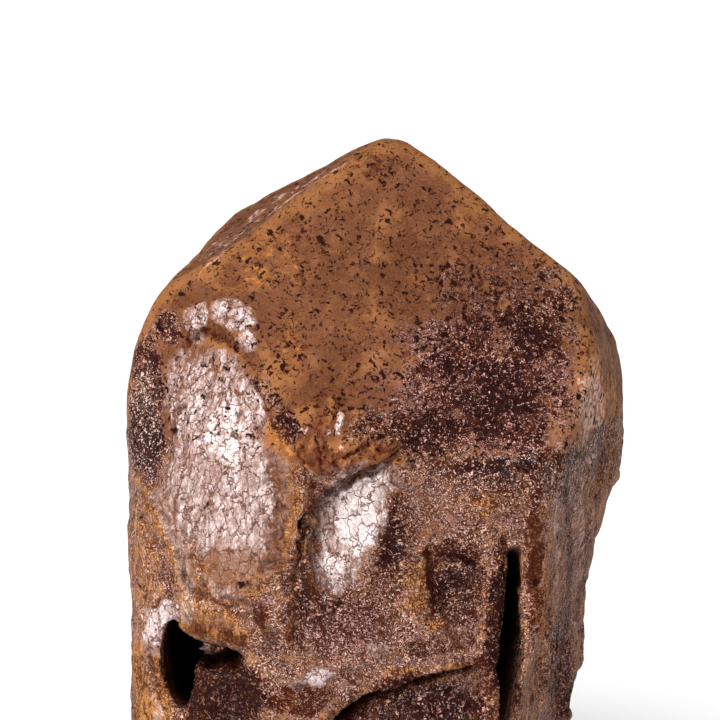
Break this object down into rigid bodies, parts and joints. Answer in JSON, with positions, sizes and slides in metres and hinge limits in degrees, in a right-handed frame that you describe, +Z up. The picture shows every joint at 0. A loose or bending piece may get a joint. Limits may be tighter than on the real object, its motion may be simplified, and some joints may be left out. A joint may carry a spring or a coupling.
{
  "type": "barite crystal specimen",
  "caption": "Stout brown barite crystal with a roof-shaped tip, a smooth swollen left face, cracked sides and a flat cut foot to stand on.",
  "frame": {"origin": "middle of the flat foot, on the surface that the crystal stands on", "axes": "+Z up along the crystal's long direction, -Y out of the broad front roof face and the face with the oval facet, +X to the right of that front"},
  "size_m": [0.0508, 0.0408, 0.0746],
  "materials": {
    "brown_barite": "satin to glossy, with fine crackle and dark specks"
  },
  "bodies": {
    "root": {"barite_crystal": "brown_barite"}
  },
  "joints": []
}
